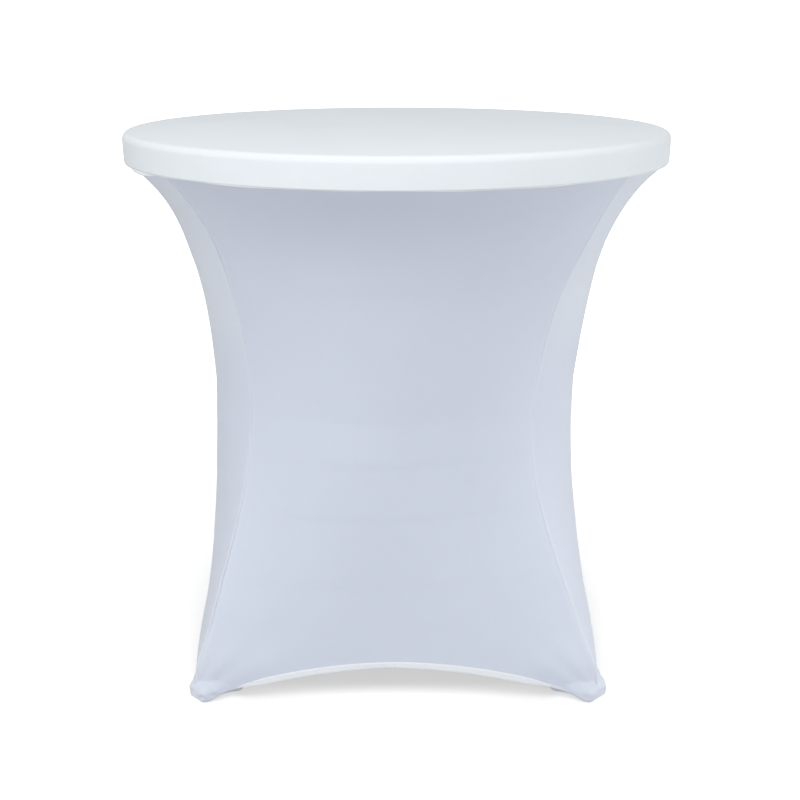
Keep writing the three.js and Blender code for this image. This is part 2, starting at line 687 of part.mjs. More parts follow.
function buildTable() {
  const table = new THREE.Group();
  table.name = 'table';
  table.add(namedMesh('table_board', boardGeometry(), boardMaterial()));
  table.add(namedMesh('edge_band', edgeBandGeometry(), edgeMaterial()));
  table.add(turned(namedMesh('top_spider', spiderGeometry(), ironMaterial()), 45));
  for (const [corner, facing] of CORNERS) {
    const screw = screwGeometry();
    screw.translate(SCREW_CIRCLE, 0, 0);
    table.add(turned(namedMesh(`top_screw_${corner}`, screw, steelMaterial()), facing));
  }
  const bore = COLUMN_RADIUS - COLUMN_WALL;
  const column = tube(COLUMN_RADIUS, bore, COLUMN_BOTTOM, COLUMN_TOP, COLUMN_STEPS);
  table.add(namedMesh('column_tube', column, ironMaterial()));
  const upperDisc = centringDisc(COLUMN_TOP + GAP, -1);
  const lowerDisc = centringDisc(COLUMN_BOTTOM - GAP, 1);
  table.add(namedMesh('centring_disc_upper', upperDisc, ironMaterial()));
  table.add(namedMesh('centring_disc_lower', lowerDisc, ironMaterial()));
  const rod = disc(ROD_RADIUS, ROD_BOTTOM, ROD_TOP, ROD_STEPS);
  table.add(namedMesh('tie_rod', rod, steelMaterial()));
  const lowerNut = nutGeometry(LOWER_NUT_TOP - NUT_HEIGHT);
  const lowerWasher = washerGeometry(LOWER_WASHER_TOP - WASHER_THICKNESS);
  table.add(namedMesh('tie_nut_lower', lowerNut, steelMaterial()));
  table.add(namedMesh('tie_washer_lower', lowerWasher, steelMaterial()));
  table.add(namedMesh('tie_nut_upper', nutGeometry(UPPER_NUT_BOTTOM), steelMaterial()));
  const upperWasher = washerGeometry(UPPER_WASHER_BOTTOM);
  table.add(namedMesh('tie_washer_upper', upperWasher, steelMaterial()));
  const lowerBar = barGeometry(HALF_LAP_Z, BAR_TOP + CUT);
  const upperBar = barGeometry(-CUT, HALF_LAP_Z + GAP);
  table.add(turned(namedMesh('base_bar_lower', lowerBar, ironMaterial()), 45));
  table.add(turned(namedMesh('base_bar_upper', upperBar, ironMaterial()), -45));
  buildGlides(table);
  return table;
}

const part = new THREE.Group();
part.name = 'covered_table';
part.add(buildTable(), buildCover());

export default part;
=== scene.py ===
"""A round cafe table under a fitted stretch cover: the looks of the cloth and of the table inside."""

import math

import bmesh
import bpy
import numpy as np
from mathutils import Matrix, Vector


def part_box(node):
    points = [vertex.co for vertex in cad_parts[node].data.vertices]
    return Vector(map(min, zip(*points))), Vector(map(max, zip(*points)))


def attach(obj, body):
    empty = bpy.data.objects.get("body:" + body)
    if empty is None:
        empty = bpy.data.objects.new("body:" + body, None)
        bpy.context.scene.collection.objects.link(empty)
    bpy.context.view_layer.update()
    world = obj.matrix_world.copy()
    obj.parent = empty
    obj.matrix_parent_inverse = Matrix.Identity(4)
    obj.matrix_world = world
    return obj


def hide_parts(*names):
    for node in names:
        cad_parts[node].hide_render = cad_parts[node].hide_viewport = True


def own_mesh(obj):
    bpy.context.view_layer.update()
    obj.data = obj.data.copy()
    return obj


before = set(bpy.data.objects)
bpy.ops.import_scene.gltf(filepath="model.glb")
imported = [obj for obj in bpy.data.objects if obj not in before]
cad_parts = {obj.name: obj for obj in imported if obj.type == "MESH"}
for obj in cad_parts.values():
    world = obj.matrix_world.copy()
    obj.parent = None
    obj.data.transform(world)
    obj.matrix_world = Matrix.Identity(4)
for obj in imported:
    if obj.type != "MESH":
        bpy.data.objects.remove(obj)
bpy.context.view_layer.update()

MM = 0.001

# ---------- sizes, read from the solids ----------

cap_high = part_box("cover_top_cap")[1]
rim_low, rim_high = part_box("rim_seam")
pocket_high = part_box("foot_pocket_back_right")[1]

COVER_RADIUS = cap_high.x
COVER_TOP = cap_high.z
RIM_SEAM_RADIUS = (rim_high.z - rim_low.z) / 2
RIM_SEAM_Z = (rim_high.z + rim_low.z) / 2
RIM_SEAM_CIRCLE = rim_high.x - RIM_SEAM_RADIUS
POCKET_TOP = pocket_high.z
SKIRT_TOP_RADIUS = COVER_RADIUS - 2 * MM

# the solids' profiles, with the waist and the feet let out by a few millimetres
CAP_ROUNDING = 9 * MM
WAIST_RADIUS = 262.5 * MM
WAIST_HEIGHT = 389 * MM
HEM_FLARE = 34 * MM
SEAM_WAIST_RADIUS = 266 * MM
SEAM_WAIST_HEIGHT = 392 * MM
SEAM_FOOT_RADIUS = 378 * MM
CORNER_SHIFT = 3.7
HEM_ARCH = 53 * MM
HEM_WIDTH = 8 * MM
HEM_REACH = 0.75  # share of a panel's half width that the hem covers
FOOT_END = 390 * MM  # the pocket's blunt end, along its diagonal
FOOT_HALF_END = 17.5 * MM
FOOT_SPREAD = math.radians(34)
FOOT_CORNER = 9 * MM
FOOT_RUN = 86 * MM  # along a pocket's edge, from the toe's middle to the end of a flank

RIM_TUCK_DEGREES = (-156.0, -142.0)  # the bunched cloth's two ends, round the table
HEM_STITCH_LINES = (1.9 * MM, -0.7 * MM)  # up the cloth from a hem's middle line
GATHERED_CORNER = "front_left"  # the pocket with a narrower end and a deeper swirl
SOLE_CLEARANCE = 0.1 * MM

CLOTH = 0.9 * MM

# each side: its name, the way it faces and the way it runs from left to right
SIDES = {
    "front": ((0, -1), (1, 0)),
    "right": ((1, 0), (0, 1)),
    "back": ((0, 1), (-1, 0)),
    "left": ((-1, 0), (0, -1)),
}
# the corners at a side's left and right end
SIDE_CORNERS = {
    "front": ("front_left", "front_right"),
    "right": ("front_right", "back_right"),
    "back": ("back_right", "back_left"),
    "left": ("back_left", "front_left"),
}
CORNERS = {
    "front_right": (1, -1),
    "back_right": (1, 1),
    "back_left": (-1, 1),
    "front_left": (-1, -1),
}


# ---------- mesh building ----------


def grid_faces(rows, columns, round_rows=False, round_columns=False):
    """Quads between neighbours of a rows by columns grid, joined round where it closes on itself."""
    r = np.arange(rows if round_rows else rows - 1)
    c = np.arange(columns if round_columns else columns - 1)
    r, c = (a.ravel() for a in np.meshgrid(r, c, indexing="ij"))
    below, beside = (r + 1) % rows, (c + 1) % columns
    corners = (r * columns + c, below * columns + c, below * columns + beside, r * columns + beside)
    return np.stack(corners, axis=1)


def add_mesh(name, points, faces, uv=None, dense_and_highlight=None):
    """A mesh from points and quads. uv and dense are values per point."""
    mesh = bpy.data.meshes.new(name)
    mesh.from_pydata(points.reshape(-1, 3), [], faces.tolist())
    mesh.polygons.foreach_set("use_smooth", np.ones(len(mesh.polygons), dtype=bool))
    if uv is not None:
        loops = np.zeros(len(mesh.loops), dtype=np.int32)
        mesh.loops.foreach_get("vertex_index", loops)
        layer = mesh.uv_layers.new(name="UVMap")
        layer.data.foreach_set("uv", uv.reshape(-1, 2)[loops].astype(np.float32).ravel())
    if dense_and_highlight is not None:
        layer = mesh.attributes.new("dense_and_highlight", "FLOAT", "POINT")
        layer.data.foreach_set("value", dense_and_highlight.astype(np.float32).ravel())
    mesh.validate()
    piece = bpy.data.objects.new(name, mesh)
    bpy.context.scene.collection.objects.link(piece)
    return piece


def weld(piece):
    """Merges the points that lie on each other, which closes poles and tube ends."""
    shape = bmesh.new()
    shape.from_mesh(piece.data)
    bmesh.ops.remove_doubles(shape, verts=shape.verts, dist=1e-7)
    shape.to_mesh(piece.data)
    shape.free()
    return piece


def normals_of(points, round_rows=False, round_columns=False):
    """Unit normals of a grid of points, from the differences along its two ways."""

    def along(values, axis, closed):
        if closed:
            return np.roll(values, -1, axis) - np.roll(values, 1, axis)
        return np.gradient(values, axis=axis)

    cross = np.cross(along(points, 0, round_rows), along(points, 1, round_columns))
    return cross / np.maximum(np.linalg.norm(cross, axis=-1, keepdims=True), 1e-12)


def cloth_piece(name, points, uv, dense_and_highlight, round_columns=False, out_from=(0, 0, 0.3)):
    """A sheet from a grid of its outer face, with its faces turned away from a point inside."""
    faces = grid_faces(*points.shape[:2], round_columns=round_columns)
    normal = normals_of(points, round_columns=round_columns)
    if np.mean(np.sum(normal * (points - np.array(out_from)), axis=-1)) < 0:
        faces = faces[:, ::-1]
    piece = weld(add_mesh(name, points, faces, uv, dense_and_highlight))
    shell = piece.modifiers.new("thickness", "SOLIDIFY")
    shell.thickness = CLOTH
    shell.offset = -1
    return piece


def swept(path, across, outward, outline):
    """An outline of (across, outward) offsets carried along a path: point = path + a*across + b*outward."""
    a = outline[None, :, 0, None]
    b = outline[None, :, 1, None]
    return path[:, None, :] + a * across[:, None, :] + b * outward[:, None, :]


def closed_sweep(name, points, uv, dense_and_highlight=None, ring=False):
    """A tube from a grid of rings. Its two ends are drawn in to points unless it is a ring."""
    if not ring:
        middle = np.broadcast_to(points.mean(axis=1, keepdims=True), points.shape)
        points = np.concatenate([middle[:1], points, middle[-1:]])
        uv = np.concatenate([uv[:1], uv, uv[-1:]])
        if dense_and_highlight is not None:
            dense_and_highlight = np.concatenate([dense_and_highlight[:1], dense_and_highlight, dense_and_highlight[-1:]])
    faces = grid_faces(*points.shape[:2], round_rows=ring, round_columns=True)
    normal = normals_of(points, round_rows=ring, round_columns=True)
    middle = points.mean(axis=1, keepdims=True)
    if np.mean(np.sum(normal * (points - middle), axis=-1)) < 0:
        faces = faces[:, ::-1]
    return weld(add_mesh(name, points, faces, uv, dense_and_highlight))


def unit(vectors):
    return vectors / np.maximum(np.linalg.norm(vectors, axis=-1, keepdims=True), 1e-12)


def length_along(path):
    """Distance travelled from the first point, along the last axis but one."""
    steps = np.linalg.norm(np.diff(path, axis=0), axis=-1)
    return np.concatenate([np.zeros_like(steps[:1]), np.cumsum(steps, axis=0)])


def smooth(t):
    """The S curve 3t^2 - 2t^3, held at 0 and 1 outside."""
    t = np.clip(t, 0, 1)
    return t * t * (3 - 2 * t)


def bump(t, centre, width):
    """A bell of height 1 round a centre."""
    return np.exp(-(((t - centre) / width) ** 2))


# ---------- the stretched shape ----------


def rise(z, waist):
    return np.maximum(0, (z - waist) / (RIM_SEAM_Z - waist))


def fall(z, waist):
    return np.maximum(0, (waist - z) / waist)


def pull(z):
    """How far the seams are tugged to the left at a height: out over the left legs, in over the right."""
    return 11.5 * MM * bump(z, 0.27, 0.17) - 5.5 * MM * bump(z, 0.63, 0.06)


def side_pull(z):
    """How far the two side panels' middles follow that tug."""
    return 3.8 * MM * bump(z, 0.3, 0.15) + 1.8 * MM * bump(z, 0.585, 0.05)


def panel_radius(z, side):
    """Radius of a panel's middle: steep under the rim, nearly upright below, a slight flare at the hem."""
    up = rise(z, WAIST_HEIGHT)
    flare = 0.256 * up + 0.489 * up**3 + 0.255 * up**9
    hem = HEM_FLARE * fall(z, WAIST_HEIGHT) ** 2.2
    tug = {"left": 1, "right": -1}.get(side, 0) * side_pull(z)
    return WAIST_RADIUS + (SKIRT_TOP_RADIUS - WAIST_RADIUS) * flare + hem + tug


def seam_radius(z, corner):
    """Radius of a corner seam: an S curve from the waist out to the foot, and a cup up to the rim."""
    up = rise(z, SEAM_WAIST_HEIGHT)
    flare = 0.92 * up**2 + 0.08 * up**9
    down = smooth(fall(z, SEAM_WAIST_HEIGHT) ** 1.2)
    tug = pull(z) * (1 if corner.endswith("left") else -1)
    top = (SKIRT_TOP_RADIUS - SEAM_WAIST_RADIUS) * flare
    ankle = (8.5 if corner.endswith("left") else 11) * MM * bump(np.maximum(z, 0.042), 0.042, 0.034)
    return SEAM_WAIST_RADIUS + top + (SEAM_FOOT_RADIUS - SEAM_WAIST_RADIUS) * down + tug + ankle


def seam_point(z, corner):
    """A corner seam's place at a height, from its radius and its lean towards the X axis."""
    sx, sy = CORNERS[corner]
    angle = np.radians(45 - CORNER_SHIFT * rise(z, WAIST_HEIGHT))
    radius = seam_radius(z, corner)
    x, y = sx * radius * np.cos(angle), sy * radius * np.sin(angle)
    return np.stack([x, y, z + 0 * radius], axis=-1)


def panel_point(across, z, side, inset=0.0):
    """A point of a panel's level section: the arc through its two seams and its middle.

    The half chord h and the bulge b give the arc's radius (h^2 + b^2) / 2b. Across runs from -1 to 1
    by angle, and the middle of the chord slides with the two seams.
    """
    facing, lateral = (np.array([*v, 0.0]) for v in SIDES[side])
    left, right = (seam_point(z, corner) for corner in SIDE_CORNERS[side])
    ends = [np.sum(p * lateral, axis=-1) for p in (left, right)]
    reach = [np.sum(p * facing, axis=-1) for p in (left, right)]
    half = (ends[1] - ends[0]) / 2
    bulge = panel_radius(z, side) - (reach[0] + reach[1]) / 2
    radius = (half**2 + bulge**2) / (2 * bulge)
    widest = np.arcsin(np.clip(half / radius, -1, 1))
    angle = across * (widest - inset / radius)
    share = (np.sin(angle) / np.sin(widest) + 1) / 2
    tilt = (reach[1] - reach[0]) * (share - 0.5)
    outward = panel_radius(z, side) - radius * (1 - np.cos(angle)) + tilt
    sideways = (ends[0] + ends[1]) / 2 + radius * np.sin(angle)
    flat = outward[..., None] * facing + sideways[..., None] * lateral
    return flat + np.stack([0 * z, 0 * z, z], axis=-1)


def hem_height(across):
    """Height of a hem's lower edge: an arch from foot to foot, (1 - across^2)^1.2."""
    return HEM_ARCH * np.maximum(0, 1 - across**2) ** 1.2


# ---------- creases and tension ----------


def panel_relief(side, across, points):
    """How far a panel's face stands off its arc, in metres.

    A sum of: fans of shallow folds that radiate from each foot and die away up the skirt, puckers
    along the corner seams, gathers under the rim, slow waves, and the flat ridges of packing folds.
    """
    z = points[..., 2]
    middle = across.shape[1] // 2
    steps = np.linalg.norm(np.diff(points, axis=1), axis=-1)
    run = np.concatenate([np.zeros((across.shape[0], 1)), np.cumsum(steps, axis=1)], axis=1)
    run = run - run[:, middle : middle + 1]
    half = run[:, -1:]
    seed = {"front": 0.0, "right": 1.3, "back": 2.9, "left": 4.1}[side]
    relief = 0.45 * MM * np.sin(9 * run + 5.1 * z + seed) * np.sin(7.3 * z + 1.7 * seed)
    relief += 0.25 * MM * np.sin(31 * run - 11 * z + 2 * seed)
    for end, turn in ((-1, 0.4), (1, 1.9)):
        off = np.maximum(half - end * run, 0)
        reach = np.hypot(off, z)
        lean = np.arctan2(off, np.maximum(z, 1e-4))
        fan = np.sin(13 * lean + turn + seed) * np.exp(-reach / 0.07) * smooth(reach / 0.03)
        relief += 1.5 * MM * fan
        wobble = z + 2 * MM * np.sin(37 * z + seed)
        relief += 0.16 * MM * np.sin(2 * np.pi * wobble / 0.0105 + turn) * np.exp(-off / 0.005)
        relief -= 0.12 * MM * bump(off, 0.0055, 0.0022)
        tug = np.sin(9 * np.arctan2(off, np.maximum(RIM_SEAM_Z - z, 1e-4)) + seed)
        rim_reach = np.hypot(off, RIM_SEAM_Z - z)
        relief += 0.35 * MM * tug * np.exp(-rim_reach / 0.035)
    gather = np.sin(2 * np.pi * (run + 3 * MM * np.sin(20 * run + seed)) / 0.021 + seed)
    relief += 0.16 * MM * gather * np.exp(-(RIM_SEAM_Z - z) / 0.011)
    inside = smooth((half - np.abs(run) - 0.03) / 0.02)
    aside = np.abs(run) / half
    for height, climb in ((0.567, 0.075), (0.332, 0.0), (0.259, 0.0), (0.165, 0.0)):
        over = z - height - climb * smooth((aside - 0.5) / 0.4) ** 2 - 1.5 * MM * np.sin(8 * run + seed)
        relief += 0.3 * MM * np.tanh(over / 0.0035) * np.exp(-np.abs(over) / 0.035) * inside
    for place in (-0.4, 0.42):
        ridge = 0.1 * MM * bump(run, place * half, 0.0022)
        relief += ridge * smooth((z - 0.3) / 0.02) * smooth((0.54 - z) / 0.02)
    return relief * smooth((RIM_SEAM_Z - z) / 0.004)


PANEL_COLUMNS = 121
PANEL_ROWS = 171


def build_panel(side):
    """A skirt panel: arcs stacked from the rim seam down to the arch of the hem, with its relief added.

    Columns crowd towards the seams by a sine, and rows towards the rim by a power. The cloth is
    doubled, and whiter, at the seams' allowances, by the hem and low down beside the seams. The side
    panels' tops are whitened too, as a painted highlight.
    """
    s = np.linspace(-1, 1, PANEL_COLUMNS)
    across = np.sin(s * np.pi / 2) * 0.35 + s * 0.65
    down = np.linspace(0, 1, PANEL_ROWS) ** 1.15
    across, down = np.meshgrid(across, down)
    bottom = np.maximum(hem_height(across) + HEM_WIDTH * 0.5, POCKET_TOP - 5 * MM)
    z = RIM_SEAM_Z + (bottom - RIM_SEAM_Z) * down
    points = panel_point(across, z, side, inset=0.5 * MM)
    normal = normals_of(points)
    facing = np.array([*SIDES[side][0], 0.0])
    normal *= np.sign(np.mean(np.sum(normal * facing, axis=-1)))
    tuck = -0.8 * MM * smooth((z - RIM_SEAM_Z + 3 * MM) / (3 * MM))
    relief = panel_relief(side, across, points) + tuck
    points = points + normal * relief[..., None]
    run = length_along(np.moveaxis(points, 1, 0))
    drop = length_along(points)
    uv = np.stack([run.T - run.T[:, run.shape[0] // 2][:, None], -drop], axis=-1)
    off = np.minimum(run.T, run.T[:, -1:] - run.T)
    low = smooth((z - bottom) / -0.01 + 1) * smooth((0.74 - np.abs(across)) / 0.06)
    dense_and_highlight = 0.12 + 0.1 * smooth((0.0075 - off) / 0.003) + 0.13 * low
    dense_and_highlight += 0.5 * np.exp(-off / 0.03) * np.exp(-z / 0.13)
    # painted highlight: whitens the side panels' upper flare, where the side light falls on it
    if side in ("left", "right"):
        dense_and_highlight += 0.45 * smooth((z - 0.4) / 0.15)
    return cloth_piece(f"skirt_{side}", points, uv, dense_and_highlight)


def build_cap():
    """The cap: flat across the top, a quarter round at the rim, then an upright wall down to the seam.

    Its profile is carried round the axis. The wall draws in a little at the seam, ripples there, and
    is pulled down at the four corner seams.
    """
    turn = np.linspace(0, 2 * np.pi, 360, endpoint=False)
    centre_radius = COVER_RADIUS - CAP_ROUNDING
    centre_z = COVER_TOP - CAP_ROUNDING
    top = np.linspace(0, 1, 60) ** 0.8 * centre_radius
    corner = np.linspace(0, np.pi / 2, 14)[1:]
    wall = np.linspace(0, 1, 22)[1:]
    corner_radius = centre_radius + CAP_ROUNDING * np.sin(corner)
    corner_z = centre_z + CAP_ROUNDING * np.cos(corner)
    wall_z = centre_z + (RIM_SEAM_Z - centre_z) * wall
    radius = np.concatenate([top, corner_radius, np.full(len(wall), COVER_RADIUS)])
    z = np.concatenate([np.full(len(top), COVER_TOP), corner_z, wall_z])
    travelled = length_along(np.stack([radius, z], axis=-1))[:, None] + radius[0]
    radius, z = radius[:, None], z[:, None]
    low = smooth((centre_z - z) / (centre_z - RIM_SEAM_Z))
    wave = np.sin(41 * turn + 2 * np.sin(3 * turn)) + 0.6 * np.sin(67 * turn + 1.1)
    near = np.exp(-(z - RIM_SEAM_Z) / 0.007)
    corner_pull = bump(np.degrees(turn) % 90 - 45, 0, 4.0)
    radius = radius - 0.35 * MM * low**2 - 0.1 * MM * wave * near - 0.1 * MM * low * corner_pull
    sag = 0.25 * MM * np.sin(3 * turn + 0.7) * smooth(radius / 0.3) * (z > COVER_TOP - 1e-6)
    z = z - np.abs(sag)
    places = (radius * np.cos(turn), radius * np.sin(turn), z + 0 * turn)
    points = np.stack(np.broadcast_arrays(*places), axis=-1)
    uv = np.stack([travelled * np.cos(turn), travelled * np.sin(turn)], axis=-1)
    dense_and_highlight = np.broadcast_to(1.0 + 0 * radius, points.shape[:2])
    return cloth_piece("top_cap", points, uv, dense_and_highlight, round_columns=True)


def rim_line(turn):
    """Height and radius of the rim seam: a slow wave, with a small dip at each corner seam."""
    degrees = np.degrees(turn)
    to_corner = (degrees % 90) - 45
    wave = 0.35 * MM * np.sin(7 * turn + 0.6) + 0.25 * MM * np.sin(19 * turn)
    dip = 0.5 * MM * np.sin(to_corner / 5.5) * bump(to_corner, 0, 7)
    return RIM_SEAM_Z + wave + dip, RIM_SEAM_CIRCLE + 1.3 * MM + 0.15 * MM * np.sin(11 * turn)


def round_outline(half_width, half_height, steps=10, power=1.0):
    """An ellipse, squared off by a power below 1."""
    t = np.linspace(0, 2 * np.pi, steps, endpoint=False)
    c, s = np.cos(t), np.sin(t)
    across = half_width * np.sign(c) * np.abs(c) ** power
    up = half_height * np.sign(s) * np.abs(s) ** power
    return np.stack([across, up], axis=-1)


def build_rim_seam():
    """The rolled seam under the rim: an oval cord on the rim line, with overlock ridges round it."""
    turn = np.linspace(0, 2 * np.pi, 1440, endpoint=False)
    z, radius = rim_line(turn)
    path = np.stack([radius * np.cos(turn), radius * np.sin(turn), z], axis=-1)
    outward = np.stack([np.cos(turn), np.sin(turn), 0 * turn], axis=-1)
    upward = np.broadcast_to(np.array([0.0, 0.0, 1.0]), path.shape)
    outline = round_outline(1.25 * MM, 1.15 * MM)
    points = swept(path, upward, outward, outline)
    ridge = 1 + 0.07 * np.sin(turn * 640)[:, None, None]
    points = path[:, None, :] + (points - path[:, None, :]) * ridge
    s = turn * RIM_SEAM_CIRCLE
    uv = np.stack(np.broadcast_arrays(s[:, None], np.linspace(0, 8 * MM, 10)[None]), axis=-1)
    return closed_sweep("rim_roll", points, uv, ring=True)


def build_rim_tuck():
    """A small lens of bunched cloth under the rim seam, just round the front left corner."""
    t = np.linspace(0, 1, 60)
    start, end = RIM_TUCK_DEGREES
    turn = np.radians(start + (end - start) * t)
    swell = np.sin(np.pi * t) ** 0.8
    z, radius = rim_line(turn)
    z = z - (1.0 + 2.2 * swell) * MM
    radius = radius - 0.6 * MM + 0.9 * MM * swell
    path = np.stack([radius * np.cos(turn), radius * np.sin(turn), z], axis=-1)
    outward = np.stack([np.cos(turn), np.sin(turn), 0 * turn], axis=-1)
    upward = np.broadcast_to(np.array([0.0, 0.0, 1.0]), path.shape)
    outline = round_outline(1.0, 1.0, 14)
    a = outline[None, :, 0, None] * (0.5 + 2.1 * swell)[:, None, None] * MM
    b = outline[None, :, 1, None] * (0.4 + 1.2 * swell)[:, None, None] * MM
    points = path[:, None, :] + a * upward[:, None, :] + b * outward[:, None, :]
    s = t * 0.1
    uv = np.stack(np.broadcast_arrays(s[:, None], np.linspace(0, 14 * MM, 14)[None]), axis=-1)
    return closed_sweep("rim_tuck", points, uv)


def build_corner_seam(corner):
    """A corner seam: a flattened ridge carried down the line where two panels meet, slightly uneven."""
    z = np.linspace(RIM_SEAM_Z - 0.6 * MM, POCKET_TOP - 3 * MM, 420)
    path = seam_point(z, corner)
    sx, sy = CORNERS[corner]
    outward = np.broadcast_to(unit(np.array([sx, sy, 0.0])), path.shape)
    along = unit(np.gradient(path, axis=0))
    across = unit(np.cross(along, outward))
    outward = unit(np.cross(across, along))
    outward *= np.sign(np.sum(outward * np.array([sx, sy, 0.0]), axis=-1, keepdims=True))
    travelled = length_along(path)
    wave = 0.25 * MM * np.sin(travelled / 0.017) + 0.15 * MM * np.sin(travelled / 0.0061 + 1)
    path = path + across * wave[:, None] - outward * 0.35 * MM
    outline = round_outline(1.2 * MM, 0.75 * MM, 12)
    points = swept(path, across, outward, outline)
    ridge = 1 + 0.05 * np.sin(travelled / 0.00035)[:, None, None]
    points = path[:, None, :] + (points - path[:, None, :]) * ridge
    uv = np.stack(np.broadcast_arrays(travelled[:, None], np.linspace(0, 9 * MM, 12)[None]), axis=-1)
    dense_and_highlight = 0.55 + 0.45 * np.exp(-z / 0.15)
    return closed_sweep(f"seam_{corner}", points, uv, np.broadcast_to(dense_and_highlight[:, None], points.shape[:2]))


def hem_frames(side, count):
    """Points along a hem's middle line, with its directions up the cloth and outwards."""
    across = np.linspace(-HEM_REACH, HEM_REACH, count) * 1.02
    z = hem_height(across) + HEM_WIDTH / 2
    path = panel_point(across, z, side)
    above = panel_point(across, z + 2 * MM, side)
    along = unit(np.gradient(path, axis=0))
    slope = unit(above - path)
    outward = unit(np.cross(along, slope))
    facing = np.array([*SIDES[side][0], 0.0])
    outward *= np.sign(np.sum(outward * facing, axis=-1, keepdims=True))
    upward = unit(np.cross(outward, along))
    upward *= np.sign(upward[:, 2:3])
    return path, upward, outward


def build_hem(side):
    """A hem: a flat band, rounded over at its lower edge and grooved under its stitching.

    The section is a squared oval, a little deeper than the hem and smaller at both ends of it. Slow
    waves let its lower edge roll out here and there.
    """
    path, upward, outward = hem_frames(side, 260)
    travelled = length_along(path)
    outline = round_outline(HEM_WIDTH / 2 + 0.6 * MM, 1.1 * MM, 28, 0.75)
    groove = 0.28 * MM * sum(bump(outline[:, 0], up, 0.45 * MM) for up in HEM_STITCH_LINES)
    outline[:, 1] -= np.sign(outline[:, 1]) * groove
    share = np.abs(travelled / travelled[-1] * 2 - 1)
    taper = 0.55 + 0.45 * smooth((1 - share) / 0.2)[:, None, None]
    points = path[:, None, :] + (swept(path, upward, outward, outline) - path[:, None, :]) * taper
    seed = {"front": 0.3, "right": 1.9, "back": 3.3, "left": 5.2}[side]
    roll = 0.45 * MM * np.sin(travelled / 0.045 + seed) + 0.22 * MM * np.sin(travelled / 0.019 + 2 * seed)
    lower = np.clip(-outline[:, 0] / (HEM_WIDTH / 2), 0, 1) ** 2
    points = points + outward[:, None, :] * (roll[:, None] * lower[None])[..., None]
    pucker = 0.07 * MM * np.sin(travelled / 0.00105 + seed)
    points = points + outward[:, None, :] * (pucker[:, None] * np.sign(outline[None, :, 1]))[..., None]
    around = np.concatenate([[0], np.cumsum(np.linalg.norm(np.diff(outline, axis=0), axis=-1))])
    uv = np.stack(np.broadcast_arrays(travelled[:, None], around[None]), axis=-1)
    return closed_sweep(f"hem_band_{side}", points, uv)


def stitch_rows(name, lines, pitch, half_length, radius):
    """Rows of stitches: a short grain of thread at each step along a line, its ends in the cloth.

    Each line is (path, outward). A grain is a spindle of six sides: its radius follows a sine from end
    to end, and its height above the cloth a parabola.
    """
    sides, rings = 6, 5
    t = np.linspace(-1, 1, rings)
    spin = np.linspace(0, 2 * np.pi, sides, endpoint=False)
    every_point, every_face, start = [], [], 0
    for path, outward in lines:
        travelled = length_along(path)
        at = np.arange(pitch, travelled[-1] - pitch, pitch)
        centre = np.stack([np.interp(at, travelled, path[:, k]) for k in range(3)], axis=-1)
        out = unit(np.stack([np.interp(at, travelled, outward[:, k]) for k in range(3)], axis=-1))
        ahead = np.stack([np.interp(at + 0.4 * pitch, travelled, path[:, k]) for k in range(3)], axis=-1)
        along = unit(ahead - centre)
        aside = unit(np.cross(along, out))
        thick = radius * np.sqrt(np.maximum(1 - t**2, 0.04))
        lift = radius * (0.9 - 1.3 * t**2)
        base = centre[:, None, None, :] + along[:, None, None, :] * (t * half_length)[None, :, None, None]
        base = base + out[:, None, None, :] * lift[None, :, None, None]
        beside = np.cos(spin)[None, None, :, None] * aside[:, None, None, :]
        above = np.sin(spin)[None, None, :, None] * out[:, None, None, :]
        points = base + (beside + above) * thick[None, :, None, None]
        faces = grid_faces(rings, sides, round_columns=True)[:, ::-1]
        offsets = start + np.arange(len(at))[:, None, None] * rings * sides
        every_point.append(points.reshape(-1, 3))
        every_face.append((faces[None] + offsets).reshape(-1, 4))
        ends = start + np.arange(len(at))[:, None] * rings * sides
        last = (rings - 1) * sides
        caps = ((0, (0, 1, 2, 3)), (0, (0, 3, 4, 5)), (last, (3, 2, 1, 0)), (last, (5, 4, 3, 0)))
        for first, order in caps:
            every_face.append(ends + first + np.array(order)[None])
        start += len(at) * rings * sides
    return add_mesh(name, np.concatenate(every_point), np.concatenate(every_face))


def build_hem_stitches(side):
    """The coverstitch of a hem: two rows of thread, in the band's two grooves."""
    path, upward, outward = hem_frames(side, 260)
    lines = []
    for up in HEM_STITCH_LINES:
        keep = slice(14, -14)
        lines.append(((path + upward * up + outward * 0.82 * MM)[keep], outward[keep]))
    return stitch_rows(f"hem_stitches_{side}", lines, 2.6 * MM, 1.05 * MM, 0.2 * MM)


def build_rim_stitches():
    """One row of thread just above the rim seam, on the cap's wall."""
    turn = np.linspace(0, 2 * np.pi, 1441)
    z, radius = rim_line(turn)
    radius = COVER_RADIUS - 0.95 * MM + 0 * radius
    path = np.stack([radius * np.cos(turn), radius * np.sin(turn), z + 2.6 * MM], axis=-1)
    outward = np.stack([np.cos(turn), np.sin(turn), 0 * turn], axis=-1)
    return stitch_rows("rim_stitches", [(path, outward)], 2.6 * MM, 1.0 * MM, 0.16 * MM)


# ---------- foot pockets ----------

POCKET_COLUMNS = 161


def foot_edge(s, corner):
    """The pocket's edge on the floor, along its diagonal and aside of it, for s from -1 to 1.

    A blunt end with rounded corners, then two straight flanks that spread by a fixed angle. At the
    gathered corner the end is narrower on one side.
    """
    run = np.abs(s) * FOOT_RUN
    blunt = np.where((s < 0) & (corner == GATHERED_CORNER), 0.55, 1.0)
    flat = (FOOT_HALF_END - FOOT_CORNER * 0.6) * blunt
    bend = FOOT_CORNER * 1.2
    turned = np.clip((run - flat) / bend, 0, 1) * (math.pi / 2 - FOOT_SPREAD)
    arc_radius = bend / (math.pi / 2 - FOOT_SPREAD)
    along = FOOT_END - arc_radius * (1 - np.cos(turned))
    aside = np.minimum(run, flat) + arc_radius * np.sin(turned)
    past = np.maximum(run - flat - bend, 0)
    heading = math.pi / 2 - FOOT_SPREAD
    return along - past * math.sin(heading), (aside + past * math.cos(heading)) * np.sign(s)


